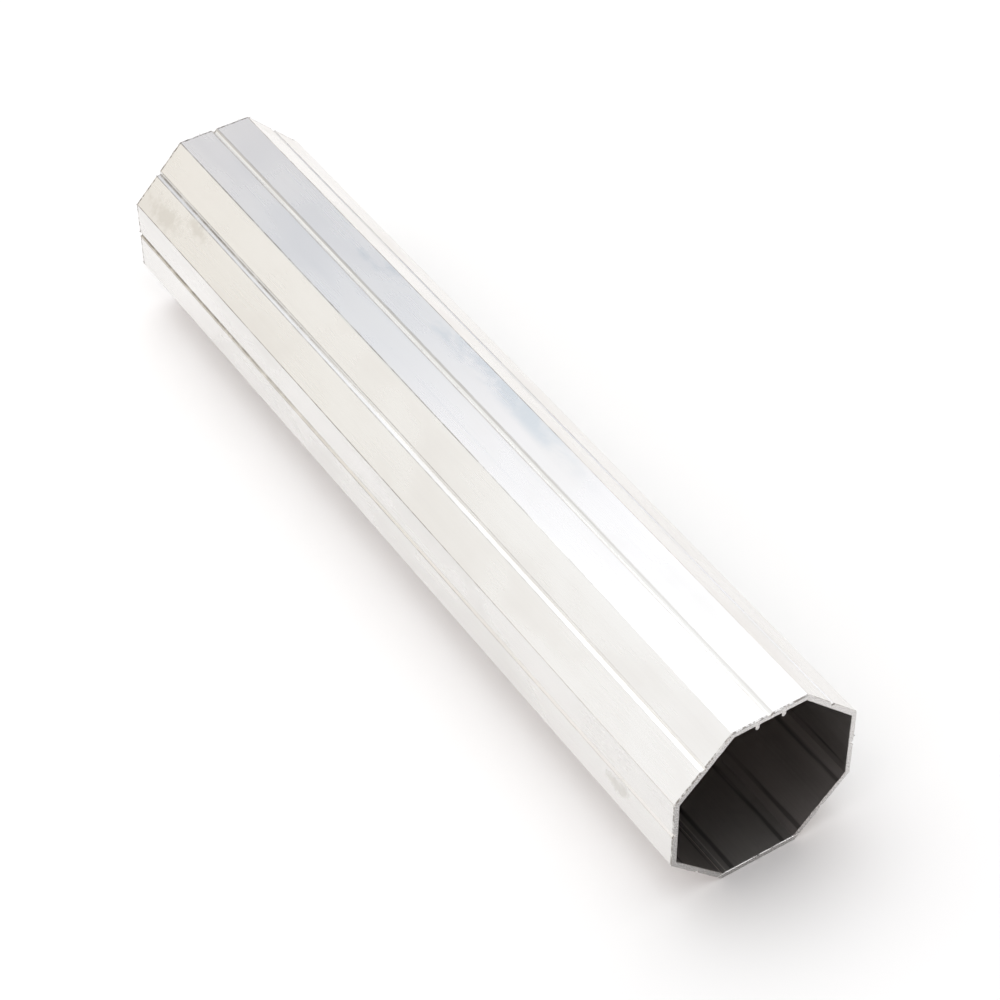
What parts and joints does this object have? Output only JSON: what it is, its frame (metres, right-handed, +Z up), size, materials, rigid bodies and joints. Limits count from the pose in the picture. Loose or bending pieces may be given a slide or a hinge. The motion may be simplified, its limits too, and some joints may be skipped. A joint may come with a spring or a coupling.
{
  "type": "octagonal tube",
  "caption": "Open-ended octagonal aluminium tube with a V groove along each flat and two small ribs inside under one flat.",
  "frame": {"origin": "under the middle of the tube, in the plane of its bottom flat, where it rests", "axes": "+Y along the tube's axis, +Z up through the flat with the two ribs, +X to the side"},
  "size_m": [0.07, 0.35, 0.07],
  "materials": {
    "mill_aluminium": "mill finish with fine lengthwise die lines, light oxide stains and saw-cut ends"
  },
  "bodies": {
    "root": {"octagonal_tube": "mill_aluminium"}
  },
  "joints": []
}
